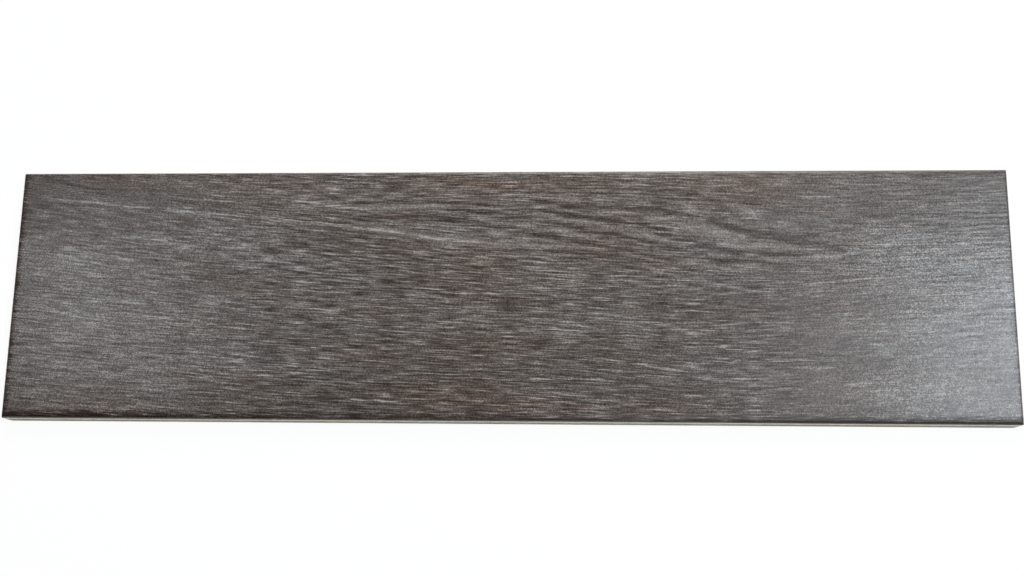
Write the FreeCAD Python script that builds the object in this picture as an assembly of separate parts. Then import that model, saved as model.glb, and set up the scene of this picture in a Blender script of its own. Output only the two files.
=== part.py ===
"""Wood look porcelain plank tile: one pressed and fired piece, glazed on its face.

Millimetres, +Z up. X runs along the plank and Y across it. The origin is in the middle of the
back, on the plane that the tile beds on.
"""
import FreeCAD
import Part
import os

# Plank, over the land that stands out furthest at its edges
length = 600.0
width = 154.0
thickness = 10.5

# Edge, from the glazed face down to the back
cushion_radius = 1.7        # soft rounding from the face into the edge
upper_flank_depth = 5.0     # from the face down to the land
upper_flank_lean = 1.4      # how far the upper flank leans out on its way down
land_depth = 0.6            # upright land where the two halves of the mould meet
lower_flank_lean = 0.2      # how far the lower flank draws in from the land to the back
back_arris_radius = 0.4     # rounding at the rim of the back
corner_radius = 2.5         # plan corner of the tile at the land

# Back: a net of ribs round shallow keys that the adhesive fills
key_depth = 0.8
key_margin = 8.0            # plain border of the back, in from the land
key_pitch_along = 29.0      # least spacing of the keys along the plank
key_pitch_across = 27.0     # least spacing of the keys across the plank
key_wall_lean = 0.7         # how far the walls of a key draw in over its depth
rib_width = 3.0


def rims(bar, run, height):
    """The edges of a bar that run along it at a height."""
    tolerance = 1e-6
    return [
        edge
        for edge in bar.Edges
        if edge.BoundBox.XLength > run - tolerance
        and abs(edge.CenterOfMass.z - height) < tolerance
    ]


def pressed_bar(span, run):
    """A bar along X with the tile's section across it: two pressed edges, a span apart."""
    land_top = thickness - upper_flank_depth
    land_foot = land_top - land_depth
    half = span / 2
    right_side = [
        (half - upper_flank_lean, thickness),
        (half, land_top),
        (half, land_foot),
        (half - lower_flank_lean, 0),
    ]
    left_side = [(-across, height) for across, height in reversed(right_side)]
    corners = [FreeCAD.Vector(-run / 2, across, height) for across, height in right_side + left_side]
    outline = Part.makePolygon(corners + corners[:1])
    bar = Part.Face(outline).extrude(FreeCAD.Vector(run, 0, 0))
    bar = bar.makeFillet(cushion_radius, rims(bar, run, thickness))
    return bar.makeFillet(back_arris_radius, rims(bar, run, 0))


def corner_block():
    """A plain block round the whole tile with rounded plan corners."""
    block = Part.makeBox(length, width, thickness, FreeCAD.Vector(-length / 2, -width / 2, 0))
    upright_edges = [edge for edge in block.Edges if edge.BoundBox.ZLength > thickness / 2]
    return block.makeFillet(corner_radius, upright_edges)


def pressed_body():
    """The pressed tile with a plain back: the long edges and the end edges meet in mitred corners."""
    run = length + width
    lengthwise = pressed_bar(width, run)
    crosswise = pressed_bar(length, run)
    crosswise.rotate(FreeCAD.Vector(0, 0, 0), FreeCAD.Vector(0, 0, 1), 90)
    return lengthwise.common(crosswise).common(corner_block())


def key_cutter(size_along, size_across):
    """One key as a cutting shape: its walls draw in upwards, and pass the back plane at full size."""
    wide_along = size_along / 2 + key_wall_lean
    wide_across = size_across / 2 + key_wall_lean
    floor_along = size_along / 2 - key_wall_lean
    floor_across = size_across / 2 - key_wall_lean
    wedge = Part.makeWedge(
        -wide_along, -key_depth, -wide_across, -floor_across, -floor_along,
        wide_along, key_depth, wide_across, floor_across, floor_along,
    )
    wedge.rotate(FreeCAD.Vector(0, 0, 0), FreeCAD.Vector(1, 0, 0), 90)
    return wedge


def keys():
    """All the keys, in even rows and columns inside the plain border of the back."""
    field_along = length - 2 * key_margin
    field_across = width - 2 * key_margin
    columns = int(field_along // key_pitch_along)
    rows = int(field_across // key_pitch_across)
    pitch_along = (field_along + rib_width) / columns
    pitch_across = (field_across + rib_width) / rows
    cutter = key_cutter(pitch_along - rib_width, pitch_across - rib_width)
    cutters = []
    for column in range(columns):
        for row in range(rows):
            centre_along = (column - (columns - 1) / 2) * pitch_along
            centre_across = (row - (rows - 1) / 2) * pitch_across
            cutters.append(cutter.translated(FreeCAD.Vector(centre_along, centre_across, 0)))
    return Part.makeCompound(cutters)


os.makedirs("parts", exist_ok=True)
plank_tile = pressed_body().cut(keys())
plank_tile.exportStep("parts/plank_tile.step")
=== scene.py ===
"""Wood look porcelain plank tile, dressed for its picture.

One closed mesh stands for the solid plank_tile: a glazed face with its grain pressed in, the soft
edge and bare flank round all four sides, and the keyed back. Metres, in the frame of the solid.
"""
import bpy
import math
from mathutils import Euler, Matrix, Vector


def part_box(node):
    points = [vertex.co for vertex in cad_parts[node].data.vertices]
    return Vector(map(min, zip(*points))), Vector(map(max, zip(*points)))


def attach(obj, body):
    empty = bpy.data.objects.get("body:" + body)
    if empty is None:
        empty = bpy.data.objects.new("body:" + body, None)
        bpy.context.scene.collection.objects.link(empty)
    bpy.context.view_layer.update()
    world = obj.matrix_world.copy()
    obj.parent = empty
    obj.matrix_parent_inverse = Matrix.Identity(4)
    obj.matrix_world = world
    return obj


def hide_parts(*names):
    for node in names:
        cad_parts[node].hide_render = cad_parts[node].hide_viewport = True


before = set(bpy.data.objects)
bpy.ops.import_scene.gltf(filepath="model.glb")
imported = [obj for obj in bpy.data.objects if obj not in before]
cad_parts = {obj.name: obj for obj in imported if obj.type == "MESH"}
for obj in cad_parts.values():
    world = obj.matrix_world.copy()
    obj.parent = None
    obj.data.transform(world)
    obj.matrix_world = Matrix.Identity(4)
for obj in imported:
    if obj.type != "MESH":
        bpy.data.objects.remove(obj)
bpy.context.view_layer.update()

MM = 0.001

# Plank, from the solid
low_corner, high_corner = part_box("plank_tile")
LENGTH, WIDTH, THICKNESS = high_corner - low_corner

# Edge section, as the solid has it
CUSHION_RADIUS = 1.7 * MM
UPPER_FLANK_DEPTH = 5.0 * MM
UPPER_FLANK_LEAN = 1.4 * MM
LAND_DEPTH = 0.6 * MM
LOWER_FLANK_LEAN = 0.2 * MM
BACK_ARRIS_RADIUS = 0.4 * MM
CUSHION_STEPS = 6
ARRIS_STEPS = 3

# Glaze and the bare body below it, which the solid doesn't tell apart
GLAZE_DEPTH = 2.0 * MM
GLAZED_CORNER_RADIUS = 0.6 * MM
BARE_CORNER_RADIUS = 5.0 * MM

# Keys of the back, as the solid has them
KEY_DEPTH = 0.8 * MM
KEY_MARGIN = 8.0 * MM
KEY_COLUMNS = 20
KEY_ROWS = 5
KEY_WALL_LEAN = 0.7 * MM
RIB_WIDTH = 3.0 * MM

# Mesh of the face, its sunk rim and its pressed grain
CELLS_ALONG = 220
CELLS_ACROSS = 300
RELIEF_DEPTH = 0.08 * MM
PILLOW_DEPTH = 0.12 * MM
PILLOW_REACH = 5.5 * MM
GROOVE_LENGTH = 34 * MM
GROOVE_WIDTH = 2.4 * MM
GROOVE_SHIFT = (3.7, 11.3, 0.0)
GROOVE_LEVELS = (0.68, 0.32)
BAND_GROOVE_REACH = (1.6, 0.2)
BAND_GROOVE_SHARE = 0.5

# Camera, fitted to the outline of the tile in the photograph
PHOTO_WIDTH = 1024
PHOTO_HEIGHT = 576
SENSOR_WIDTH = 36.0
CAMERA_LENS = 46.777
CAMERA_PLACE = Vector((52.98, -171.02, 781.96)) * MM
CAMERA_TURN = Euler([math.radians(angle) for angle in (12.757, 3.339, 0.826)])

# Lines that the grain follows from end to end, far edge first, in pixels of the photograph
GRAIN_GUIDES = (
    ((0, 146), (150, 158), (300, 168), (420, 170), (520, 166), (700, 166), (860, 168), (1024, 166)),
    ((0, 174), (150, 190), (276, 200), (377, 206), (478, 206), (574, 208), (655, 211), (755, 217),
     (844, 221), (920, 221), (1024, 218)),
    ((0, 194), (103, 204), (204, 213), (324, 224), (400, 231), (479, 238), (550, 244), (627, 249),
     (700, 254), (765, 257), (850, 258), (920, 256), (1024, 252)),
    ((0, 260), (156, 276), (291, 285), (408, 292), (519, 298), (650, 303), (778, 304), (880, 298),
     (1024, 292)),
    ((0, 326), (211, 344), (329, 351), (480, 357), (603, 362), (698, 371), (769, 372), (880, 367),
     (1024, 362)),
    ((0, 398), (126, 410), (322, 421), (520, 427), (720, 434), (900, 432), (1024, 430)),
)

# Dark growth bands of the figure: half width, then pixels of the photograph
GROWTH_BANDS = (
    (0.9 * MM, ((350, 203), (400, 202), (440, 202), (480, 204), (520, 207))),
    (1.5 * MM, ((530, 200), (548, 203), (570, 206), (600, 207), (632, 207), (655, 210), (680, 213),
                (705, 217))),
    (1.9 * MM, ((350, 218), (385, 217), (440, 216), (465, 221), (485, 224), (510, 230))),
    (1.1 * MM, ((445, 210), (480, 211), (505, 214), (535, 219))),
    (1.5 * MM, ((535, 209), (560, 214), (590, 218), (620, 222), (645, 224), (660, 231))),
    (1.6 * MM, ((650, 232), (680, 238), (705, 247), (735, 252), (775, 254), (815, 254))),
    (1.5 * MM, ((535, 222), (556, 224), (568, 225), (583, 230), (604, 234), (621, 235), (638, 240),
                (660, 244))),
    (1.4 * MM, ((655, 246), (672, 248), (690, 251), (711, 255))),
    (1.6 * MM, ((505, 232), (541, 235), (558, 236), (573, 241), (590, 243), (608, 247), (625, 250),
                (655, 257), (690, 264))),
    (0.9 * MM, ((510, 249), (560, 251), (600, 254), (640, 260), (675, 265))),
    (2.6 * MM, ((700, 216), (722, 226), (745, 231), (765, 235), (790, 238), (815, 243), (850, 252))),
    (0.9 * MM, ((650, 197), (690, 200), (725, 201))),
    (0.9 * MM, ((735, 202), (765, 205))),
    (0.8 * MM, ((700, 258), (740, 262), (795, 264))),
    (0.7 * MM, ((577, 182), (615, 182))),
    (0.6 * MM, ((505, 192), (545, 193), (600, 193), (650, 195), (700, 197))),
    (0.6 * MM, ((560, 188), (610, 188), (660, 190), (710, 191))),
    (0.8 * MM, ((640, 191), (685, 190))),
    (0.8 * MM, ((40, 177), (60, 181), (85, 188), (110, 190))),
)

# Light streaks: half width, then pixels of the photograph
LIGHT_STREAKS = (
    (0.8 * MM, ((27, 196), (103, 204), (204, 213), (259, 217))),
    (0.9 * MM, ((250, 216), (324, 224), (365, 228))),
    (0.8 * MM, ((345, 227), (380, 229), (409, 234))),
    (0.8 * MM, ((415, 236), (444, 239), (482, 243))),
    (0.8 * MM, ((156, 196), (216, 201), (259, 203))),
    (0.9 * MM, ((276, 200), (307, 202), (350, 208), (374, 210))),
    (0.7 * MM, ((123, 235), (139, 239), (196, 242))),
    (0.7 * MM, ((291, 279), (333, 284))),
    (0.7 * MM, ((408, 288), (445, 290))),
    (0.7 * MM, ((457, 293), (519, 294))),
    (0.7 * MM, ((398, 294), (422, 296), (474, 300))),
    (0.7 * MM, ((103, 301), (156, 304))),
    (0.7 * MM, ((126, 315), (167, 319), (211, 321))),
    (0.7 * MM, ((308, 308), (352, 311))),
    (0.7 * MM, ((308, 347), (330, 349))),
    (0.6 * MM, ((99, 406), (120, 408), (145, 412))),
    (0.7 * MM, ((279, 391), (295, 393), (322, 396))),
    (0.7 * MM, ((346, 399), (408, 402))),
    (0.6 * MM, ((481, 378), (533, 379), (610, 379))),
    (0.7 * MM, ((593, 370), (626, 371))),
    (0.7 * MM, ((603, 359), (648, 365), (698, 374))),
    (0.7 * MM, ((533, 392), (564, 393))),
    (0.7 * MM, ((524, 417), (572, 418))),
    (0.8 * MM, ((707, 270), (765, 270))),
    (0.7 * MM, ((707, 346), (769, 353))),
    (0.7 * MM, ((708, 361), (755, 361), (861, 360))),
    (0.7 * MM, ((700, 378), (769, 381))),
    (0.7 * MM, ((772, 367), (846, 369))),
    (0.7 * MM, ((836, 385), (868, 382), (900, 382))),
    (0.8 * MM, ((795, 285), (844, 281), (868, 279), (911, 276))),
    (0.7 * MM, ((868, 245), (900, 244))),
    (0.7 * MM, ((790, 196), (837, 197))),
)

# Pale gaps between the growth bands: half width, then pixels of the photograph
PALE_GAPS = (
    (1.3 * MM, ((340, 227), (380, 230), (400, 232), (420, 236), (440, 239), (480, 242), (510, 245))),
    (1.0 * MM, ((500, 244), (550, 247), (575, 246), (600, 248), (620, 251), (640, 257), (680, 264),
                (745, 269))),
    (1.0 * MM, ((350, 208), (385, 208), (420, 206), (455, 205))),
    (1.4 * MM, ((485, 231), (512, 236))),
    (1.3 * MM, ((515, 225), (540, 226))),
    (1.4 * MM, ((540, 215), (565, 219), (590, 223), (610, 227), (640, 233), (665, 239), (690, 245))),
    (1.2 * MM, ((540, 229), (562, 230), (580, 236), (600, 239))),
    (1.2 * MM, ((556, 198), (570, 199), (584, 200))),
    (1.1 * MM, ((590, 211), (640, 213))),
    (1.2 * MM, ((640, 218), (680, 217))),
    (2.8 * MM, ((676, 224), (700, 229), (725, 234), (748, 236))),
    (2.3 * MM, ((715, 244), (745, 245), (775, 246), (805, 250))),
    (1.1 * MM, ((800, 256), (845, 257))),
    (1.1 * MM, ((700, 253), (740, 255))),
    (1.1 * MM, ((755, 258), (785, 261))),
)

# Brown stained stretches: half width, then pixels of the photograph
BROWN_STAINS = (
    (5.5 * MM, ((70, 174), (150, 180), (240, 184), (330, 190))),
    (3.0 * MM, ((24, 200), (30, 206), (60, 214))),
    (3.2 * MM, ((430, 180), (500, 184), (560, 190))),
    (3.0 * MM, ((380, 215), (425, 219))),
    (4.5 * MM, ((390, 240), (457, 247), (510, 254))),
    (4.0 * MM, ((560, 240), (620, 246), (670, 254))),
    (5.0 * MM, ((320, 348), (405, 357))),
    (2.6 * MM, ((400, 398), (520, 404), (600, 408))),
    (6.0 * MM, ((0, 408), (130, 414), (300, 420))),
)

# Each set of drawn lines: the attribute that keeps the distance off it, its input and its routes
DRAWN_LINES = {
    "off_growth": ("Growth Bands", GROWTH_BANDS),
    "off_streak": ("Light Streaks", LIGHT_STREAKS),
    "off_gap": ("Pale Gaps", PALE_GAPS),
    "off_stain": ("Brown Stains", BROWN_STAINS),
}

# Layers of the printed grain: length and width of a streak, shift and detail of its pattern
GRAIN_LAYERS = {
    "patches": (120 * MM, 18 * MM, 2.3, 0.0),
    "streaks": (40 * MM, 1.9 * MM, 7.9, 1.0),
    "lines": (18 * MM, 0.95 * MM, 31.3, 0.0),
    "dashes": (9 * MM, 0.65 * MM, 13.1, 0.0),
    "tints": (80 * MM, 14 * MM, 21.7, 1.0),
}
BODY_CLOUDS = (26 * MM, 17 * MM, 5.7, 2.0)
PRINT_SPECK = 0.52 * MM
BODY_SPECK = 0.7 * MM

# Regions of the print along the plank and then across it, from where each starts to where it is full;
# several carry painted highlights, shade and sheen
LEFT_PART = (-100 * MM, -220 * MM)
RIGHT_PART = (160 * MM, 260 * MM)
LEFT_BORDER = (-262 * MM, -296 * MM)
FADED_RIGHT = (145 * MM, 190 * MM)
# Where the left end turns cooler with painted sheen
COOL_LEFT = (0.0, -200 * MM)
DULL_RIGHT = (-50 * MM, 150 * MM)
FAR_SIDE = (20 * MM, 70 * MM)
NEAR_SIDE = (-20 * MM, -65 * MM)
NEAR_BORDER = (-56 * MM, -72 * MM)
LONG_EDGES = (45 * MM, 68 * MM)

# How much sooner the print fades towards the right on the far side, where the fading is partly print and
# partly painted sheen
FADED_SLANT = 35 * MM

# Dark glaze of the rolled edge, with painted shade: where it lies, and how wide its ragged border and its
# thin line are
LEFT_RIM = (-294 * MM, -296 * MM)
RIGHT_RIM = (294 * MM, 296 * MM)
NEAR_RIM = (-70 * MM, -72 * MM)
LEFT_RUN = (-100 * MM, -280 * MM)
RIGHT_RUN = (80 * MM, 250 * MM)
DARK_BORDER = (6.2 * MM, 2.0 * MM)
END_BORDER_LEAD = 0.8 * MM
RIM_LINE = (1.8 * MM, 1.1 * MM)
ROLLED_SHARE = 0.9

# Drawn lines in the print, in half widths from where each starts to where it is full
FIGURE_REACH = (4.5, 1.5)
BAND_REACH = (1.8, 0.3)
GAP_REACH = (1.7, 0.3)
STREAK_REACH = (1.6, 0.2)
STAIN_REACH = (2.0, 0.0)
STAIN_RAGGEDNESS = 3.0
GAP_TONE = 0.18
COARSE_IN_FIGURE = -0.8
FINE_IN_FIGURE = -0.4

# Bare body: how far in its back starts, and the heights of a key's floor and of the painted shade at the
# edge's foot
BACK_START = (1.0 * MM, 2.0 * MM)
KEY_FLOOR = (0.1 * MM, 0.7 * MM)
SHADE_AT_FOOT = (7.6 * MM, 6.0 * MM)

# Recipes of the finishes: a plain value, then the weight of each layer, region or part that adds to it
COARSE_GRAIN = (0.0, {"patches": 0.17, "streaks": 0.23})
FINE_GRAIN = (0.0, {"lines": 0.82, "dashes": 0.68})
# Grain fainter and specks stronger at the ends: partly the print, partly painted sheen that washes the
# grain out and painted glints
GRAIN_STRENGTH = (1.0, {"left": -0.36, "faded_right": -0.42})
SPECK_STRENGTH = (1.0, {"left": 0.35, "specks_and_glints_right": 1.15})
RIGHT_SPECKS_AND_GLINTS = (1.0, {"far": -0.8, "near": 0.9})
LINE_RAGGEDNESS = (0.0, {"dashes": 1.8, "lines": 1.8})
BAND_TONE = (-0.26, {"streaks": 0.22})
STREAK_TONE = (0.24, {"dashes": 0.8})
BORDER_RAGGEDNESS = (0.0, {"dashes": 5.0 * MM, "streaks": 4.0 * MM})
# Darker glaze all round the edge, with painted shade that makes it darkest on the near side towards the
# left and at the left end
BORDER_AT_SIDE = (0.4, {"to_left": 0.6, "to_right": 0.35})
BORDER_AT_ENDS = (0.1, {"left_end": 0.7, "right_end": 0.2})
LINE_AT_SIDE = (0.45, {"to_left": 0.5})
LINE_AT_ENDS = (0.2, {"left_end": 0.6})
PRINT_TONE = (0.505, {
    "middle_slope": 0.07,
    # Painted shade: the far side and the near border of both ends, and the left end's border
    "far_at_ends": -0.13,
    "near_at_ends": -0.12,
    "left_border": -0.1,
    # Painted highlights at the left and right ends
    "left": 0.09,
    "right": 0.04,
    "figure": 0.03,
    # Painted highlight in the middle of each end, away from its far side and near border
    "end_middle": 0.06,
    "coarse": 1.0,
    "fine": 0.97,
    # Specks of the print, stronger at the ends as painted glints
    "specks": 0.36,
    "groove": -0.04,
    "tints": -0.2,
    # Darker glaze and painted shade at the rolled edge
    "rolled": -0.3,
    "drawn": 1.0,
})
PRINT_WARMTH = (0.42, {
    "tints": 0.55,
    "stain": 0.17,
    "long_edges": 0.1,
    # Painted sheen: cooler at the ends, where the bluish windows reflect
    "cool_left": -0.14,
    "right": -0.15,
    "faded_near": 0.09,
})
GLAZE_RELIEF = (0.0, {"fine": 0.5, "specks": 0.25})
GLAZE_ROUGHNESS = (0.27, {"specks": 0.05, "dull_rim": 0.35})
BODY_TONE = (0.62, {"specks": 0.25, "clouds": 0.45, "shade_at_foot": -0.6, "in_key": -0.14})
BODY_ROUGHNESS = (0.72, {"specks": 0.1})

# Display colours of the print and of the bare body, from dark to pale
PRINT_COLOURS = (
    (0.0, (55, 47, 43)),
    (0.25, (74, 65, 60)),
    (0.5, (95, 86, 81)),
    (0.75, (126, 117, 111)),
    (1.0, (168, 160, 154)),
)
BODY_COLOURS = (
    (0.0, (152, 142, 124)),
    (0.5, (228, 219, 198)),
    (1.0, (244, 238, 222)),
)
# Darker glaze and painted shade of the rolled edge, and of its thin line at the rim
ROLLED_COLOUR = (30, 14, 8)
RIM_LINE_COLOUR = (22, 14, 10)

# Tints that the print is multiplied by, from cool to warm
PRINT_TINTS = (
    (0.2, (0.93, 0.98, 1.03, 1.0)),
    (0.5, (1.0, 1.0, 1.0, 1.0)),
    (0.85, (1.12, 0.96, 0.88, 1.0)),
)

# Floor and light
WHITE = (1.0, 1.0, 1.0, 1.0)
FLOOR_SIZE = 12.0
FLOOR_GLOW = 0.93
BACKDROP_HEIGHT = 1.5
WORLD_LEVEL = 0.17
WORLD_COLOUR = (1.0, 0.98, 0.94, 1.0)
WORLD_LEAN = (0.4, 0.4, 0.0)
COOL_DAYLIGHT = (0.8, 0.91, 1.0)
WARM_DAYLIGHT = (1.0, 0.98, 0.95)

# Lamps: name, place, point that it faces, side, light of its surface, colour
WINDOWS = (
    ("window_right", (1.35, 0.05, 2.2), (0.25, 0.0, 0.0), 1.15, 11.2, COOL_DAYLIGHT),
    ("window_left", (-1.15, 0.52, 2.2), (-0.25, 0.0, 0.0), 0.35, 4.5, COOL_DAYLIGHT),
    ("window_far", (0.3, 2.4, 1.8), (0.0, 0.0, 0.0), 1.6, 7.6, WARM_DAYLIGHT),
)

# The mix node's sockets share their labels, so they go by number: first, second and result of each kind
MIX_NUMBERS = {"VECTOR": (4, 5, 1), "RGBA": (6, 7, 2)}


# Node helpers, for the geometry tree and the materials alike

def feed(tree, socket, value):
    """Give an input its value: a link from another socket, or a plain value."""
    if isinstance(value, bpy.types.NodeSocket):
        tree.links.new(value, socket)
    else:
        socket.default_value = value


def put(tree, kind, inputs=None, **settings):
    """Add a node. Settings are its own properties; inputs are links or plain values, by socket."""
    node = tree.nodes.new(kind)
    for name, value in settings.items():
        setattr(node, name, value)
    for key, value in (inputs or {}).items():
        feed(tree, node.inputs[key], value)
    return node


def calc(tree, operation, *terms):
    """One step of arithmetic on numbers."""
    return put(tree, "ShaderNodeMath", dict(enumerate(terms)), operation=operation).outputs[0]


def vector_calc(tree, operation, *terms):
    """One step of arithmetic on vectors."""
    return put(tree, "ShaderNodeVectorMath", dict(enumerate(terms)), operation=operation).outputs[0]


def vector(tree, x, y, z):
    """A vector from three numbers."""
    return put(tree, "ShaderNodeCombineXYZ", {"X": x, "Y": y, "Z": z}).outputs[0]


def parts_of(tree, source):
    """The three numbers of a vector."""
    return put(tree, "ShaderNodeSeparateXYZ", {0: source}).outputs


def fade(tree, value, start, end, kind="SMOOTHSTEP"):
    """A number that goes from 0 to 1 as a value goes from start to end."""
    inputs = {"Value": value, "From Min": start, "From Max": end}
    return put(tree, "ShaderNodeMapRange", inputs, interpolation_type=kind).outputs[0]


def weighted_sum(tree, start, *pairs):
    """A start value plus each value times its weight."""
    total = start
    for value, weight in pairs:
        total = calc(tree, "MULTIPLY_ADD", value, weight, total)
    return total


def sum_of(tree, values, recipe):
    """A recipe's plain value plus each of its named values times its weight."""
    plain, weights = recipe
    return weighted_sum(tree, plain, *((values[name], weight) for name, weight in weights.items()))


def mixed(tree, kind, share, first, second, blend="MIX"):
    """Two vectors or two colours mixed by a share."""
    first_number, second_number, result_number = MIX_NUMBERS[kind]
    inputs = {0: share, first_number: first, second_number: second}
    return put(tree, "ShaderNodeMix", inputs, data_type=kind, blend_type=blend).outputs[result_number]


# Camera and the way from the photograph to the face

def add_camera():
    """The camera at the photograph's place and angle."""
    data = bpy.data.cameras.new("camera")
    data.sensor_fit = "HORIZONTAL"
    data.sensor_width = SENSOR_WIDTH
    data.lens = CAMERA_LENS
    data.clip_start = 10 * MM
    camera = bpy.data.objects.new("camera", data)
    camera.location = CAMERA_PLACE
    camera.rotation_euler = CAMERA_TURN
    bpy.context.collection.objects.link(camera)
    bpy.context.scene.camera = camera


def on_face(pixel):
    """The point of the glazed face that shows at a pixel of the photograph."""
    pixel_reach = SENSOR_WIDTH / CAMERA_LENS / PHOTO_WIDTH
    across = (pixel[0] - PHOTO_WIDTH / 2) * pixel_reach
    up = (PHOTO_HEIGHT / 2 - pixel[1]) * pixel_reach
    sight = Vector((across, up, -1.0))
    sight.rotate(CAMERA_TURN)
    return CAMERA_PLACE + sight * ((THICKNESS - CAMERA_PLACE.z) / sight.z)


# Helpers of the tile's tree: drawn lines and the edge section

def drawn_lines(name, routes):
    """A curve object with one smooth line for each route: a half width and its pixels."""
    curve_order = 3
    curve_steps = 12
    data = bpy.data.curves.new(name, "CURVE")
    data.dimensions = "3D"
    for half_width, pixels in routes:
        line = data.splines.new("NURBS")
        line.points.add(len(pixels) - 1)
        for point, pixel in zip(line.points, pixels):
            point.co = (*on_face(pixel), 1.0)
            point.radius = half_width
        line.order_u = curve_order
        line.use_endpoint_u = True
        line.resolution_u = curve_steps
    lines = bpy.data.objects.new(name, data)
    bpy.context.collection.objects.link(lines)
    return lines


def rounded_rim(radius, lean, depth, steps):
    """A rounding from a level face into a leaning flank, as (inset, depth below the face) pairs."""
    flank_angle = math.atan2(lean, depth)
    bend = math.pi / 2 - flank_angle
    rim_inset = lean + radius * math.tan(bend / 2)
    turns = [bend * step / steps for step in range(steps + 1)]
    return [(rim_inset - radius * math.sin(turn), radius * (1 - math.cos(turn))) for turn in turns]


def edge_section():
    """The section from the rim of the flat face down to the back, as (inset, height) pairs."""
    land_top = THICKNESS - UPPER_FLANK_DEPTH
    land_foot = land_top - LAND_DEPTH
    glaze_foot_inset = UPPER_FLANK_LEAN * (1 - GLAZE_DEPTH / UPPER_FLANK_DEPTH)
    cushion = rounded_rim(CUSHION_RADIUS, UPPER_FLANK_LEAN, UPPER_FLANK_DEPTH, CUSHION_STEPS)
    arris = rounded_rim(BACK_ARRIS_RADIUS, LOWER_FLANK_LEAN, land_foot, ARRIS_STEPS)
    section = [(inset, THICKNESS - below) for inset, below in cushion]
    section.append((glaze_foot_inset, THICKNESS - GLAZE_DEPTH))
    section.append((0.0, land_top))
    section.append((0.0, land_foot))
    section.extend(reversed(arris))
    return section


def ring_corner(inset, height):
    """The plan corner radius at a point of the section: sharp at the glaze, rounder on the bare body."""
    tolerance = 0.01 * MM
    if height > THICKNESS - GLAZE_DEPTH - tolerance:
        return GLAZED_CORNER_RADIUS
    return BARE_CORNER_RADIUS - inset


def section_object(section):
    """The edge section as loose points of (inset, corner radius, height), which go by number."""
    points = [(inset, ring_corner(inset, height), height) for inset, height in section]
    mesh = bpy.data.meshes.new("edge_section")
    mesh.from_pydata(points, [], [])
    holder = bpy.data.objects.new("edge_section", mesh)
    bpy.context.collection.objects.link(holder)
    return holder


# Stages of the tile's tree

SOCKETS = {
    float: "NodeSocketFloat",
    int: "NodeSocketInt",
    bpy.types.Object: "NodeSocketObject",
    bpy.types.Material: "NodeSocketMaterial",
}


def geometry_tree(name, values):
    """An empty tree with one named input for each value."""
    tree = bpy.data.node_groups.new(name, "GeometryNodeTree")
    tree.is_modifier = True
    tree.interface.new_socket("Geometry", in_out="OUTPUT", socket_type="NodeSocketGeometry")
    for label, value in values.items():
        tree.interface.new_socket(label, in_out="INPUT", socket_type=SOCKETS[type(value)])
    return tree, tree.nodes.new("NodeGroupInput").outputs


def geometry_of(tree, item):
    """The geometry of an object that the tree is given."""
    return put(tree, "GeometryNodeObjectInfo", {"Object": item}).outputs["Geometry"]


def position(tree):
    """The place of each point."""
    return put(tree, "GeometryNodeInputPosition").outputs[0]


def store(tree, geometry, name, value, data_type="FLOAT"):
    """Keep a value on the points of the geometry under a name."""
    inputs = {"Geometry": geometry, "Name": name, "Value": value}
    settings = {"data_type": data_type, "domain": "POINT"}
    return put(tree, "GeometryNodeStoreNamedAttribute", inputs, **settings).outputs[0]


def stored(tree, name, data_type="FLOAT"):
    """A value that was kept on the points under a name."""
    return put(tree, "GeometryNodeInputNamedAttribute", {"Name": name}, data_type=data_type).outputs[0]


def sample(tree, geometry, value, index, data_type="FLOAT"):
    """A value of the point of a geometry that has a number."""
    inputs = {"Geometry": geometry, "Value": value, "Index": index}
    settings = {"data_type": data_type, "domain": "POINT", "clamp": True}
    return put(tree, "GeometryNodeSampleIndex", inputs, **settings).outputs[0]


def at_each(tree, points, shape):
    """A shape repeated at each point, as real geometry."""
    copies = put(tree, "GeometryNodeInstanceOnPoints", {"Points": points, "Instance": shape}).outputs[0]
    return put(tree, "GeometryNodeRealizeInstances", {"Geometry": copies}).outputs[0]


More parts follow.
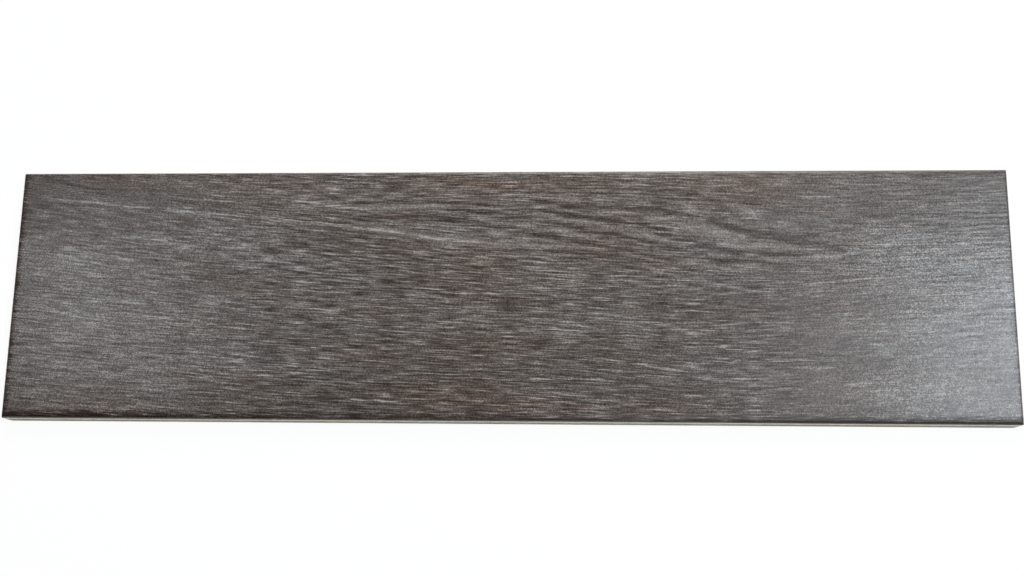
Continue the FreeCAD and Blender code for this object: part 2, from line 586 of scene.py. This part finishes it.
def folded_sheet(tree, size, rings):
    """The face and its four edges as one sheet, folded down ring by ring along the edge section."""
    cells_along = calc(tree, "ADD", size["Cells Along"], 2 * rings)
    cells_across = calc(tree, "ADD", size["Cells Across"], 2 * rings)
    sheet = put(tree, "GeometryNodeMeshGrid", {
        "Size X": cells_along,
        "Size Y": cells_across,
        "Vertices X": calc(tree, "ADD", cells_along, 1),
        "Vertices Y": calc(tree, "ADD", cells_across, 1),
    }).outputs["Mesh"]

    cell = position(tree)
    half_along = calc(tree, "MULTIPLY", size["Cells Along"], 0.5)
    half_across = calc(tree, "MULTIPLY", size["Cells Across"], 0.5)
    half_cells = vector(tree, half_along, half_across, 1.0)
    reach = vector_calc(tree, "ABSOLUTE", cell)
    past_rim = vector_calc(tree, "SUBTRACT", reach, half_cells)
    past_end, past_side, _ = parts_of(tree, vector_calc(tree, "MAXIMUM", past_rim, (0.0, 0.0, 0.0)))
    ring = calc(tree, "ROUND", calc(tree, "MAXIMUM", past_end, past_side))

    section = geometry_of(tree, size["Edge Section"])
    section_point = sample(tree, section, position(tree), ring, "FLOAT_VECTOR")
    inset, corner_radius, height = parts_of(tree, section_point)

    share = calc(tree, "SUBTRACT", past_end, past_side)
    share = calc(tree, "DIVIDE", share, calc(tree, "MAXIMUM", ring, 1.0))
    turn = calc(tree, "MULTIPLY", calc(tree, "ADD", share, 1.0), math.pi / 4)
    round_corner = vector(tree, calc(tree, "SINE", turn), calc(tree, "COSINE", turn), 0.0)
    across_face = vector_calc(tree, "DIVIDE", reach, half_cells)
    across_face = vector_calc(tree, "MINIMUM", across_face, (1.0, 1.0, 0.0))
    past_face = calc(tree, "GREATER_THAN", ring, 0.5)
    outward = mixed(tree, "VECTOR", past_face, across_face, round_corner)

    half_length = calc(tree, "MULTIPLY", size["Length"], 0.5)
    half_width = calc(tree, "MULTIPLY", size["Width"], 0.5)
    centre_along = weighted_sum(tree, half_length, (inset, -1.0), (corner_radius, -1.0))
    centre_across = weighted_sum(tree, half_width, (inset, -1.0), (corner_radius, -1.0))
    corner_centre = vector(tree, centre_along, centre_across, 0.0)
    radius = vector(tree, corner_radius, corner_radius, 0.0)
    place = vector_calc(tree, "MULTIPLY", across_face, corner_centre)
    place = vector_calc(tree, "MULTIPLY_ADD", outward, radius, place)
    place = vector_calc(tree, "MULTIPLY", place, vector_calc(tree, "SIGN", cell))
    place = vector_calc(tree, "ADD", place, vector(tree, 0.0, 0.0, height))

    sheet = store(tree, sheet, "ring", ring)
    return put(tree, "GeometryNodeSetPosition", {"Geometry": sheet, "Position": place}).outputs[0]


def grain_place(tree, size, guide_heights):
    """Where each point lies in the grain: along the plank, and across it between the guide lines."""
    place = parts_of(tree, position(tree))
    above = []
    for number in range(len(guide_heights)):
        guide = geometry_of(tree, size[guide_name(number)])
        guide_mesh = put(tree, "GeometryNodeCurveToMesh", {"Curve": guide}).outputs[0]
        nearest = put(tree, "GeometryNodeProximity", {"Geometry": guide_mesh}, target_element="EDGES")
        above.append(calc(tree, "SUBTRACT", place[1], parts_of(tree, nearest.outputs["Position"])[1]))
    across = guide_heights[0]
    for number in range(len(guide_heights) - 1):
        gap = calc(tree, "SUBTRACT", above[number], above[number + 1])
        share = calc(tree, "DIVIDE", above[number], gap)
        if number > 0:
            share = calc(tree, "MAXIMUM", share, 0.0)
        if number < len(guide_heights) - 2:
            share = calc(tree, "MINIMUM", share, 1.0)
        across = weighted_sum(tree, across, (share, guide_heights[number + 1] - guide_heights[number]))
    return vector(tree, place[0], across, 0.0)


def guide_name(number):
    """The name of a guide line's input."""
    return f"Grain Guide {number + 1}"


def off_lines(tree, lines):
    """How far a point lies off drawn lines, in half widths of the nearest line, with tapered ends."""
    furthest = 8.0
    spacing = 0.6 * MM
    taper = 0.35
    thinnest = 0.1
    smooth = put(tree, "GeometryNodeResampleCurve", {"Curve": lines, "Length": spacing}, mode="LENGTH")
    way = put(tree, "GeometryNodeSplineParameter").outputs["Factor"]
    swell = calc(tree, "POWER", calc(tree, "SINE", calc(tree, "MULTIPLY", way, math.pi)), taper)
    half_width = put(tree, "GeometryNodeInputRadius").outputs[0]
    tapered = put(tree, "GeometryNodeSetCurveRadius", {
        "Curve": smooth.outputs[0],
        "Radius": calc(tree, "MULTIPLY", half_width, calc(tree, "MAXIMUM", swell, thinnest)),
    })
    points = put(tree, "GeometryNodeCurveToPoints", {"Curve": tapered.outputs[0]}, mode="EVALUATED")
    points = points.outputs["Points"]

    nearest = put(tree, "GeometryNodeSampleNearest", {"Geometry": points}, domain="POINT").outputs[0]
    line_place = sample(tree, points, position(tree), nearest, "FLOAT_VECTOR")
    line_width = sample(tree, points, half_width, nearest)
    off = vector_calc(tree, "SUBTRACT", position(tree), line_place)
    level = vector_calc(tree, "MULTIPLY", off, (1.0, 1.0, 0.0))
    away = put(tree, "ShaderNodeVectorMath", {0: level}, operation="LENGTH").outputs["Value"]
    return calc(tree, "MINIMUM", calc(tree, "DIVIDE", away, line_width), furthest)


def grooves(tree):
    """How deep the grain is pressed at a point, from 0 to 1: fine grooves and the growth bands."""
    cell = (1 / GROOVE_LENGTH, 1 / GROOVE_WIDTH, 0.0)
    place = vector_calc(tree, "MULTIPLY", stored(tree, "grain", "FLOAT_VECTOR"), cell)
    pattern = put(tree, "ShaderNodeTexNoise", {
        "Vector": vector_calc(tree, "ADD", place, GROOVE_SHIFT),
        "Scale": 1.0,
        "Detail": 2.0,
        "Roughness": 0.6,
    }, noise_dimensions="2D").outputs["Fac"]
    fine = fade(tree, pattern, *GROOVE_LEVELS)
    band = fade(tree, stored(tree, "off_growth"), *BAND_GROOVE_REACH)
    return calc(tree, "MINIMUM", weighted_sum(tree, fine, (band, BAND_GROOVE_SHARE)), 1.0)


def pressed_grain(tree, sheet, size, guide_heights):
    """Press the grain into the face, and keep on the sheet what its finish follows."""
    sheet = store(tree, sheet, "grain", grain_place(tree, size, guide_heights), "FLOAT_VECTOR")
    for attribute, (label, _) in DRAWN_LINES.items():
        sheet = store(tree, sheet, attribute, off_lines(tree, geometry_of(tree, size[label])))
    sheet = store(tree, sheet, "groove", grooves(tree))

    on_face_and_cushion = calc(tree, "LESS_THAN", stored(tree, "ring"), CUSHION_STEPS + 0.5)
    depth = calc(tree, "MULTIPLY", stored(tree, "groove"), on_face_and_cushion)
    depth = calc(tree, "MULTIPLY", depth, size["Relief Depth"])
    inward = put(tree, "ShaderNodeVectorMath", {
        0: put(tree, "GeometryNodeInputNormal").outputs[0],
        "Scale": calc(tree, "MULTIPLY", depth, -1.0),
    }, operation="SCALE").outputs[0]
    drop = calc(tree, "MULTIPLY", pillow(tree, size), on_face_and_cushion)
    offset = vector_calc(tree, "SUBTRACT", inward, vector(tree, 0.0, 0.0, drop))
    return put(tree, "GeometryNodeSetPosition", {"Geometry": sheet, "Offset": offset}).outputs[0]


def pillow(tree, size):
    """How far the face sinks towards its rim, before the cushion turns down."""
    cushion = rounded_rim(CUSHION_RADIUS, UPPER_FLANK_LEAN, UPPER_FLANK_DEPTH, CUSHION_STEPS)
    cushion_inset = cushion[0][0]
    along, across, _ = parts_of(tree, vector_calc(tree, "ABSOLUTE", position(tree)))
    from_end = calc(tree, "SUBTRACT", calc(tree, "MULTIPLY", size["Length"], 0.5), along)
    from_side = calc(tree, "SUBTRACT", calc(tree, "MULTIPLY", size["Width"], 0.5), across)
    from_rim = calc(tree, "MINIMUM", from_end, from_side)
    near_rim = fade(tree, from_rim, size["Pillow Reach"], cushion_inset, "LINEAR")
    return calc(tree, "MULTIPLY", calc(tree, "POWER", near_rim, 2.0), size["Pillow Depth"])


def keyed_back(tree, sheet, size):
    """The back: a level net of ribs inside the rim of the sheet, and a drawn cup in each key."""
    key_along = calc(tree, "SUBTRACT", size["Key Pitch Along"], size["Rib Width"])
    key_across = calc(tree, "SUBTRACT", size["Key Pitch Across"], size["Rib Width"])
    gaps_along = calc(tree, "SUBTRACT", size["Key Columns"], 1)
    gaps_across = calc(tree, "SUBTRACT", size["Key Rows"], 1)
    centres = put(tree, "GeometryNodeMeshGrid", {
        "Size X": calc(tree, "MULTIPLY", gaps_along, size["Key Pitch Along"]),
        "Size Y": calc(tree, "MULTIPLY", gaps_across, size["Key Pitch Across"]),
        "Vertices X": size["Key Columns"],
        "Vertices Y": size["Key Rows"],
    }).outputs["Mesh"]

    mouth_size = {"Width": key_along, "Height": key_across}
    mouth = put(tree, "GeometryNodeCurvePrimitiveQuadrilateral", mouth_size).outputs[0]
    faces_beside = put(tree, "GeometryNodeInputMeshEdgeNeighbors").outputs[0]
    one_face = {2: faces_beside, 3: 1}
    open_edge = put(tree, "FunctionNodeCompare", one_face, data_type="INT", operation="EQUAL").outputs[0]
    rim = put(tree, "GeometryNodeMeshToCurve", {"Mesh": sheet, "Selection": open_edge}).outputs[0]
    outlines = joined(tree, rim, at_each(tree, centres, mouth))
    ribs = put(tree, "GeometryNodeFillCurve", {"Curve": outlines}, mode="TRIANGLES").outputs[0]
    ribs = put(tree, "GeometryNodeFlipFaces", {"Mesh": ribs}).outputs[0]

    cup = put(tree, "GeometryNodeMeshGrid", {
        "Size X": key_along,
        "Size Y": key_across,
        "Vertices X": 2,
        "Vertices Y": 2,
    }).outputs["Mesh"]
    raising = {"Mesh": cup, "Offset Scale": size["Key Depth"]}
    raised = put(tree, "GeometryNodeExtrudeMesh", raising, mode="FACES")
    corner_side = vector_calc(tree, "SIGN", position(tree))
    lean = calc(tree, "MULTIPLY", size["Key Wall Lean"], -1.0)
    cup = put(tree, "GeometryNodeSetPosition", {
        "Geometry": raised.outputs["Mesh"],
        "Selection": raised.outputs["Top"],
        "Offset": vector_calc(tree, "MULTIPLY", corner_side, vector(tree, lean, lean, 0.0)),
    }).outputs[0]
    cup = put(tree, "GeometryNodeFlipFaces", {"Mesh": cup}).outputs[0]
    return joined(tree, ribs, at_each(tree, centres, cup))


def joined(tree, *pieces):
    """Several geometries as one."""
    node = put(tree, "GeometryNodeJoinGeometry")
    for piece in pieces:
        tree.links.new(piece, node.inputs[0])
    return node.outputs[0]


def finished(tree, tile, size):
    """Close the seams, set the shading and give the glaze and the bare body their materials."""
    weld = 0.004 * MM
    crease = math.radians(28)
    tile = put(tree, "GeometryNodeMergeByDistance", {"Geometry": tile, "Distance": weld}).outputs[0]
    tile = put(tree, "GeometryNodeSetShadeSmooth", {"Geometry": tile, "Shade Smooth": True}).outputs[0]
    bend = put(tree, "GeometryNodeInputMeshEdgeAngle").outputs["Unsigned Angle"]
    tile = put(tree, "GeometryNodeSetShadeSmooth", {
        "Geometry": tile,
        "Selection": calc(tree, "GREATER_THAN", bend, crease),
        "Shade Smooth": False,
    }, domain="EDGE").outputs[0]
    tile = put(tree, "GeometryNodeRealizeInstances", {"Geometry": tile}).outputs[0]
    height = parts_of(tree, position(tree))[2]
    glaze_foot = calc(tree, "SUBTRACT", size["Thickness"], GLAZE_DEPTH)
    tile = put(tree, "GeometryNodeSetMaterial", {
        "Geometry": tile,
        "Material": size["Bare Body"],
    }).outputs[0]
    return put(tree, "GeometryNodeSetMaterial", {
        "Geometry": tile,
        "Selection": calc(tree, "GREATER_THAN", height, glaze_foot),
        "Material": size["Glaze"],
    }).outputs[0]


def plank_tile(glaze, bare_body):
    """The tile as one closed mesh, made by its tree."""
    section = edge_section()
    guides = GRAIN_GUIDES[::-1]
    guide_heights = [sum(on_face(pixel).y for pixel in guide) / len(guide) for guide in guides]
    key_field_along = LENGTH - 2 * KEY_MARGIN
    key_field_across = WIDTH - 2 * KEY_MARGIN
    values = {
        "Length": LENGTH,
        "Width": WIDTH,
        "Thickness": THICKNESS,
        "Cells Along": CELLS_ALONG,
        "Cells Across": CELLS_ACROSS,
        "Relief Depth": RELIEF_DEPTH,
        "Pillow Depth": PILLOW_DEPTH,
        "Pillow Reach": PILLOW_REACH,
        "Key Columns": KEY_COLUMNS,
        "Key Rows": KEY_ROWS,
        "Key Pitch Along": (key_field_along + RIB_WIDTH) / KEY_COLUMNS,
        "Key Pitch Across": (key_field_across + RIB_WIDTH) / KEY_ROWS,
        "Key Depth": KEY_DEPTH,
        "Key Wall Lean": KEY_WALL_LEAN,
        "Rib Width": RIB_WIDTH,
        "Edge Section": section_object(section),
        "Glaze": glaze,
        "Bare Body": bare_body,
    }
    for attribute, (label, routes) in DRAWN_LINES.items():
        values[label] = drawn_lines(attribute, routes)
    for number, guide in enumerate(guides):
        values[guide_name(number)] = drawn_lines("grain_guide", [(1.0 * MM, guide)])

    tree, size = geometry_tree("pressed_plank_tile", values)
    sheet = folded_sheet(tree, size, len(section) - 1)
    sheet = pressed_grain(tree, sheet, size, guide_heights)
    back = keyed_back(tree, sheet, size)
    tile = finished(tree, joined(tree, sheet, back), size)
    tree.links.new(tile, tree.nodes.new("NodeGroupOutput").inputs[0])
    piece = solidified("plank_tile_fired", tree, values)
    for helper in [value for value in values.values() if isinstance(value, bpy.types.Object)]:
        bpy.data.objects.remove(helper)
    return piece


def solidified(name, tree, values):
    """A plain mesh object from a tree, with its inputs set before it is first worked out."""
    host = bpy.data.objects.new(name + "_host", bpy.data.meshes.new(name + "_host"))
    modifier = host.modifiers.new("tree", "NODES")
    modifier.node_group = tree
    for item in tree.interface.items_tree:
        if item.in_out == "INPUT":
            modifier[item.identifier] = values[item.name]
    bpy.context.collection.objects.link(host)
    depsgraph = bpy.context.evaluated_depsgraph_get()
    made = host.evaluated_get(depsgraph)
    mesh = bpy.data.meshes.new_from_object(made, preserve_all_data_layers=True, depsgraph=depsgraph)
    bpy.data.objects.remove(host)
    if mesh.materials[0] is None:
        mesh.materials.pop(index=0)
    piece = bpy.data.objects.new(name, mesh)
    bpy.context.collection.objects.link(piece)
    return piece


# Shader groups and materials

def shader_group(name, inputs, outputs):
    """An empty shader group with named sockets, its inputs and its output node."""
    group = bpy.data.node_groups.new(name, "ShaderNodeTree")
    for label, kind in inputs.items():
        group.interface.new_socket(label, in_out="INPUT", socket_type=kind)
    for label, kind in outputs.items():
        group.interface.new_socket(label, in_out="OUTPUT", socket_type=kind)
    return group, group.nodes.new("NodeGroupInput").outputs, group.nodes.new("NodeGroupOutput").inputs


def grain_layer_group():
    """Streaks of one length and width along the grain, as a value about zero."""
    group, given, result = shader_group(
        "grain_layer",
        {"Grain": "NodeSocketVector", "Length": "NodeSocketFloat", "Width": "NodeSocketFloat",
         "Shift": "NodeSocketFloat", "Detail": "NodeSocketFloat"},
        {"Value": "NodeSocketFloat"},
    )
    cell = vector(group, given["Length"], given["Width"], 1.0)
    place = vector_calc(group, "DIVIDE", given["Grain"], cell)
    place = vector_calc(group, "ADD", place, vector(group, given["Shift"], given["Shift"], 0.0))
    noise = put(group, "ShaderNodeTexNoise", {
        "Vector": place,
        "Scale": 1.0,
        "Detail": given["Detail"],
        "Roughness": 0.55,
    }, noise_dimensions="2D").outputs["Fac"]
    group.links.new(calc(group, "SUBTRACT", noise, 0.5), result["Value"])
    return group


def speckle_group():
    """Fine grains of the fired surface, each with a shade of its own, as a value about zero."""
    group, given, result = shader_group(
        "fired_speckle",
        {"Place": "NodeSocketVector", "Size": "NodeSocketFloat"},
        {"Value": "NodeSocketFloat"},
    )
    cell = vector(group, given["Size"], given["Size"], given["Size"])
    grains = put(group, "ShaderNodeTexVoronoi", {
        "Vector": vector_calc(group, "DIVIDE", given["Place"], cell),
        "Scale": 1.0,
    }, voronoi_dimensions="3D").outputs["Color"]
    group.links.new(calc(group, "SUBTRACT", parts_of(group, grains)[0], 0.5), result["Value"])
    return group


def use_group(tree, group, **inputs):
    """A shader group placed in a material, and its first output."""
    return put(tree, "ShaderNodeGroup", inputs, node_tree=group).outputs[0]


def grain_streaks(tree, grain_layer, grain, shape):
    """One layer of grain in a material, from its length, width, shift and detail."""
    length, width, shift, detail = shape
    sizes = {"Length": length, "Width": width, "Shift": shift, "Detail": detail}
    return use_group(tree, grain_layer, Grain=grain, **sizes)


def linear(red, green, blue):
    """A colour in linear light from its display values of 0 to 255."""
    def one(value):
        value /= 255
        return value / 12.92 if value <= 0.04045 else ((value + 0.055) / 1.055) ** 2.4
    return (one(red), one(green), one(blue), 1.0)


def under_sheen(red, green, blue):
    """The glaze colour that shows as a display colour once the sheen of the glaze is added."""
    sheen = 0.012
    darkest = 0.003
    return tuple(max(part - sheen, darkest) for part in linear(red, green, blue)[:3]) + (1.0,)


def ramp(tree, value, stops):
    """A colour that runs through stops, each a place from 0 to 1 and a colour."""
    node = put(tree, "ShaderNodeValToRGB", {"Fac": value})
    band = node.color_ramp.elements
    while len(band) < len(stops):
        band.new(1.0)
    for element, (stop, colour) in zip(band, stops):
        element.position = stop
        element.color = colour
    return node.outputs["Color"]


def new_material(name):
    """A material with an empty tree, and its output's surface socket."""
    material = bpy.data.materials.new(name)
    material.use_nodes = True
    material.node_tree.nodes.clear()
    output = material.node_tree.nodes.new("ShaderNodeOutputMaterial")
    return material, material.node_tree, output.inputs["Surface"]


def kept(tree, name):
    """What a material reads from an attribute of the mesh, by output."""
    return put(tree, "ShaderNodeAttribute", attribute_name=name, attribute_type="GEOMETRY").outputs


def rim_distances(tree, place):
    """How far a point lies in from the nearer end and from the nearer long side."""
    along, across, _ = parts_of(tree, vector_calc(tree, "ABSOLUTE", place))
    return calc(tree, "SUBTRACT", LENGTH / 2, along), calc(tree, "SUBTRACT", WIDTH / 2, across)


def edge_depth(tree, shares, at_side, at_ends):
    """How dark the rolled edge gets, with its painted shade: the darker of its near side and its ends."""
    side = calc(tree, "MULTIPLY", shares["near_side"], sum_of(tree, shares, at_side))
    return calc(tree, "MAXIMUM", side, sum_of(tree, shares, at_ends))


def edge_glaze_and_shade(tree, place, layers):
    """Where the edge is darker: darker glaze, deepened by painted shade on the near side and left end, as
    a ragged border and a thin line at the rim.
    """
    along, across, _ = parts_of(tree, place)
    from_end, from_side = rim_distances(tree, place)
    shares = {
        "near_side": fade(tree, across, *NEAR_RIM),
        "left_end": fade(tree, along, *LEFT_RIM),
        "right_end": fade(tree, along, *RIGHT_RIM),
        "to_left": fade(tree, along, *LEFT_RUN),
        "to_right": fade(tree, along, *RIGHT_RUN),
    }
    border = calc(tree, "MINIMUM", calc(tree, "ADD", from_end, END_BORDER_LEAD), from_side)
    border = calc(tree, "ADD", border, sum_of(tree, layers, BORDER_RAGGEDNESS))
    border = fade(tree, border, *DARK_BORDER)
    border = calc(tree, "MULTIPLY", border, edge_depth(tree, shares, BORDER_AT_SIDE, BORDER_AT_ENDS))
    rim_line = fade(tree, calc(tree, "MINIMUM", from_end, from_side), *RIM_LINE)
    rim_line = calc(tree, "MULTIPLY", rim_line, edge_depth(tree, shares, LINE_AT_SIDE, LINE_AT_ENDS))
    return border, rim_line


def print_regions(tree, place):
    """How far a point lies in each region in which the print and the highlights, shade and sheen painted
    on it differ, by name.
    """
    along, across, _ = parts_of(tree, place)
    # The ends carry painted highlights and painted sheen as well as fainter grain
    left = fade(tree, along, *LEFT_PART)
    right = fade(tree, along, *RIGHT_PART)
    far = fade(tree, across, *FAR_SIDE)
    near = fade(tree, across, *NEAR_SIDE)
    middle = weighted_sum(tree, 1.0, (left, -1.0), (right, -1.0))
    ends = calc(tree, "SUBTRACT", 1.0, middle)
    # The middle of each end, away from its far side and near border, takes a painted highlight
    near_loss = -0.8
    end_middle = calc(tree, "SUBTRACT", 1.0, calc(tree, "MAXIMUM", middle, far))
    end_middle = weighted_sum(tree, end_middle, (near, near_loss))
    right_glint_strength = sum_of(tree, {"far": far, "near": near}, RIGHT_SPECKS_AND_GLINTS)
    # The grain fades towards the right, partly print and partly painted sheen
    faded_right = fade(tree, weighted_sum(tree, along, (far, FADED_SLANT)), *FADED_RIGHT)
    return {
        "left": left,
        "right": right,
        "end_middle": calc(tree, "MAXIMUM", end_middle, 0.0),
        "middle_slope": calc(tree, "MULTIPLY", calc(tree, "DIVIDE", across, WIDTH / 2), middle),
        # Painted shade at the ends: their far side and near border, and the left end's border
        "far_at_ends": calc(tree, "MULTIPLY", far, ends),
        "near_at_ends": calc(tree, "MULTIPLY", fade(tree, across, *NEAR_BORDER), ends),
        "left_border": fade(tree, along, *LEFT_BORDER),
        "long_edges": fade(tree, calc(tree, "ABSOLUTE", across), *LONG_EDGES),
        "cool_left": fade(tree, along, *COOL_LEFT),
        "dull_right": fade(tree, along, *DULL_RIGHT),
        "specks_and_glints_right": calc(tree, "MULTIPLY", right, right_glint_strength),
        "faded_right": faded_right,
        "faded_near": calc(tree, "MULTIPLY", faded_right, near),
    }


def print_layers(tree, grain_layer, speckle, place):
    """The layers of the print as it is made, by name, each a value about zero."""
    grain = kept(tree, "grain")["Vector"]
    layers = {name: grain_streaks(tree, grain_layer, grain, shape) for name, shape in GRAIN_LAYERS.items()}
    layers["specks"] = use_group(tree, speckle, Place=place, Size=PRINT_SPECK)
    return layers


def faded_and_glinting_layers(tree, layers, regions):
    """The layers with the grain fainter and the specks stronger at both ends: partly the print, partly
    painted sheen and glints.
    """
    grain_strength = sum_of(tree, regions, GRAIN_STRENGTH)
    speck_strength = sum_of(tree, regions, SPECK_STRENGTH)
    faded_and_glinting = dict(layers)
    for name in ("streaks", "lines", "dashes"):
        faded_and_glinting[name] = calc(tree, "MULTIPLY", layers[name], grain_strength)
    faded_and_glinting["specks"] = calc(tree, "MULTIPLY", layers["specks"], speck_strength)
    return faded_and_glinting


def drawn_tone(tree, off, layers, faded_and_glinting):
    """How much paler the drawn lines make the print: dark growth bands, pale gaps and light streaks."""
    ragged = sum_of(tree, layers, LINE_RAGGEDNESS)
    band = fade(tree, calc(tree, "ADD", off["off_growth"], ragged), *BAND_REACH)
    gap = fade(tree, calc(tree, "ADD", off["off_gap"], ragged), *GAP_REACH)
    streak = fade(tree, off["off_streak"], *STREAK_REACH)
    band_tone = sum_of(tree, faded_and_glinting, BAND_TONE)
    streak_tone = sum_of(tree, faded_and_glinting, STREAK_TONE)
    return weighted_sum(tree, 0.0, (band, band_tone), (gap, GAP_TONE), (streak, streak_tone))


def wood_grain_glaze(grain_layer, speckle):
    """Satin glaze printed as dark brown-grey wood, darker and browner where it rolls over the edge, with
    painted shade, highlights and sheen.
    """
    material, tree, surface = new_material("wood_grain_glaze")
    place = put(tree, "ShaderNodeTexCoord").outputs["Object"]
    off = {attribute: kept(tree, attribute)["Fac"] for attribute in DRAWN_LINES}
    regions = print_regions(tree, place)
    layers = print_layers(tree, grain_layer, speckle, place)
    faded_and_glinting = faded_and_glinting_layers(tree, layers, regions)
    rolled, rim_line = edge_glaze_and_shade(tree, place, layers)

    figure = fade(tree, calc(tree, "MINIMUM", off["off_growth"], off["off_gap"]), *FIGURE_REACH)
    coarse_share = weighted_sum(tree, 1.0, (figure, COARSE_IN_FIGURE))
    fine_share = weighted_sum(tree, 1.0, (figure, FINE_IN_FIGURE))
    off_stain = weighted_sum(tree, off["off_stain"], (faded_and_glinting["streaks"], STAIN_RAGGEDNESS))
    parts = {
        **regions,
        **faded_and_glinting,
        "figure": figure,
        "coarse": calc(tree, "MULTIPLY", sum_of(tree, faded_and_glinting, COARSE_GRAIN), coarse_share),
        "fine": calc(tree, "MULTIPLY", sum_of(tree, faded_and_glinting, FINE_GRAIN), fine_share),
        "groove": kept(tree, "groove")["Fac"],
        "drawn": drawn_tone(tree, off, layers, faded_and_glinting),
        "stain": fade(tree, off_stain, *STAIN_REACH),
        "rolled": rolled,
        "dull_rim": calc(tree, "MULTIPLY", rolled, regions["dull_right"]),
    }
    tone = sum_of(tree, parts, PRINT_TONE)
    tint = ramp(tree, sum_of(tree, parts, PRINT_WARMTH), PRINT_TINTS)
    rolled_share = calc(tree, "MULTIPLY", rolled, ROLLED_SHARE)
    colour = ramp(tree, tone, [(stop, under_sheen(*display)) for stop, display in PRINT_COLOURS])
    colour = mixed(tree, "RGBA", 1.0, colour, tint, "MULTIPLY")
    # The rolled edge: darker glaze, with painted shade on the near side and at the left end
    colour = mixed(tree, "RGBA", rolled_share, colour, linear(*ROLLED_COLOUR))
    colour = mixed(tree, "RGBA", rim_line, colour, linear(*RIM_LINE_COLOUR))

    relief = sum_of(tree, parts, GLAZE_RELIEF)
    bump = put(tree, "ShaderNodeBump", {"Height": relief, "Strength": 0.5, "Distance": 0.12 * MM})
    glaze = put(tree, "ShaderNodeBsdfPrincipled", {
        "Base Color": colour,
        "Roughness": sum_of(tree, parts, GLAZE_ROUGHNESS),
        "Normal": bump.outputs[0],
        "IOR": 1.5,
    })
    tree.links.new(glaze.outputs[0], surface)
    return material


def bare_porcelain(grain_layer, speckle):
    """The unglazed body: dense cream porcelain with a fine dry grain, and painted shade on the lower flank
    round the edge's foot.
    """
    material, tree, surface = new_material("bare_porcelain")
    place = put(tree, "ShaderNodeTexCoord").outputs["Object"]
    height = parts_of(tree, place)[2]
    from_end, from_side = rim_distances(tree, place)
    on_back = fade(tree, calc(tree, "MINIMUM", from_end, from_side), *BACK_START)
    on_edge = calc(tree, "SUBTRACT", 1.0, on_back)
    specks = use_group(tree, speckle, Place=place, Size=BODY_SPECK)
    parts = {
        "specks": specks,
        "clouds": grain_streaks(tree, grain_layer, place, BODY_CLOUDS),
        # Painted shade on the lower flank, round the edge's foot
        "shade_at_foot": calc(tree, "MULTIPLY", fade(tree, height, *SHADE_AT_FOOT), on_edge),
        "in_key": calc(tree, "MULTIPLY", fade(tree, height, *KEY_FLOOR), on_back),
    }
    tone = sum_of(tree, parts, BODY_TONE)
    bump = put(tree, "ShaderNodeBump", {"Height": specks, "Strength": 0.35, "Distance": 0.1 * MM})
    body = put(tree, "ShaderNodeBsdfPrincipled", {
        "Base Color": ramp(tree, tone, [(stop, linear(*display)) for stop, display in BODY_COLOURS]),
        "Roughness": sum_of(tree, parts, BODY_ROUGHNESS),
        "Normal": bump.outputs[0],
    })
    tree.links.new(body.outputs[0], surface)
    return material


# Stage: floor, world and lamps

def seen_directly(tree):
    """1 for what the camera sees, directly or by mirror or glass, and 0 for light that falls on things."""
    rays = put(tree, "ShaderNodeLightPath").outputs
    seen = calc(tree, "MAXIMUM", rays["Is Camera Ray"], rays["Is Glossy Ray"])
    return calc(tree, "MAXIMUM", seen, rays["Is Transmission Ray"])


def add_floor():
    """A plain white floor that keeps the tile's shadow, with a low white backdrop round it."""
    material, tree, surface = new_material("studio_floor")
    matt = put(tree, "ShaderNodeBsdfDiffuse", {"Color": WHITE})
    glow = put(tree, "ShaderNodeEmission", {"Color": WHITE, "Strength": 1.0})
    share = calc(tree, "MULTIPLY", seen_directly(tree), FLOOR_GLOW)
    mix = put(tree, "ShaderNodeMixShader", {0: share, 1: matt.outputs[0], 2: glow.outputs[0]})
    tree.links.new(mix.outputs[0], surface)
    half = FLOOR_SIZE / 2
    mesh = bpy.data.meshes.new("studio_floor")
    corners = ((-half, -half), (half, -half), (half, half), (-half, half))
    points = [(x, y, height) for height in (0.0, BACKDROP_HEIGHT) for x, y in corners]
    walls = [(side, (side + 1) % 4, (side + 1) % 4 + 4, side + 4) for side in range(4)]
    mesh.from_pydata(points, [], [(0, 1, 2, 3), *walls])
    mesh.materials.append(material)
    floor = bpy.data.objects.new("studio_floor", mesh)
    bpy.context.collection.objects.link(floor)


def add_world():
    """Soft light from all round, stronger from the far right."""
    world = bpy.data.worlds.new("studio")
    world.use_nodes = True
    tree = world.node_tree
    tree.nodes.clear()
    direction = put(tree, "ShaderNodeTexCoord").outputs["Generated"]
    lean = put(tree, "ShaderNodeVectorMath", {0: direction, 1: WORLD_LEAN}, operation="DOT_PRODUCT")
    lean = lean.outputs["Value"]
    sky = calc(tree, "MULTIPLY", calc(tree, "ADD", lean, 1.0), WORLD_LEVEL)
    background = put(tree, "ShaderNodeBackground", {"Color": WORLD_COLOUR, "Strength": sky})
    output = tree.nodes.new("ShaderNodeOutputWorld")
    tree.links.new(background.outputs[0], output.inputs["Surface"])
    bpy.context.scene.world = world


def add_window(name, place, target, size, radiance, colour):
    """A large soft square lamp that faces a point, set by the light of its surface."""
    data = bpy.data.lights.new(name, "AREA")
    data.shape = "SQUARE"
    data.size = size
    data.color = colour
    data.energy = radiance * math.pi * size * size
    lamp = bpy.data.objects.new(name, data)
    lamp.location = place
    lamp.rotation_euler = (Vector(target) - Vector(place)).to_track_quat("-Z", "Y").to_euler()
    bpy.context.collection.objects.link(lamp)


bpy.context.scene.view_settings.view_transform = "Standard"
add_camera()
add_floor()
add_world()
for window in WINDOWS:
    add_window(*window)

grain_layer = grain_layer_group()
speckle = speckle_group()
tile = plank_tile(wood_grain_glaze(grain_layer, speckle), bare_porcelain(grain_layer, speckle))
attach(tile, "root")
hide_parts("plank_tile")
